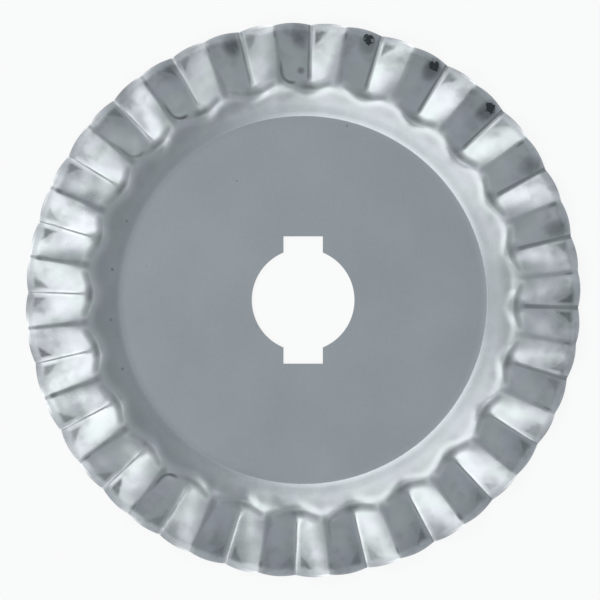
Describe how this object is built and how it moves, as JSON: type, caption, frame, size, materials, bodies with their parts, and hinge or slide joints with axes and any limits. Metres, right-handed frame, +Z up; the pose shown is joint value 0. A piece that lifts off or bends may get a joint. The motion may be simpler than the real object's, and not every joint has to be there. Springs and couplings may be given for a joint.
{
  "type": "pinking rotary blade",
  "caption": "Round steel blade with a radially pleated rim and a scalloped ground edge, for cutting pinked edges with a hand-held rotary cutter.",
  "frame": {"origin": "on the arbor's axis, in the plane of the table that the hub's underside lies on", "axes": "+Z up along the arbor's axis, out of the marked side; +Y through a key slot; +X square to both"},
  "size_m": [0.045, 0.045, 0.0016],
  "materials": {
    "stainless_sheet": "cold-rolled stainless sheet, satin on the hub and brighter on the pressed pleats and the ground edge"
  },
  "bodies": {
    "root": {"blade": "stainless_sheet"}
  },
  "joints": []
}
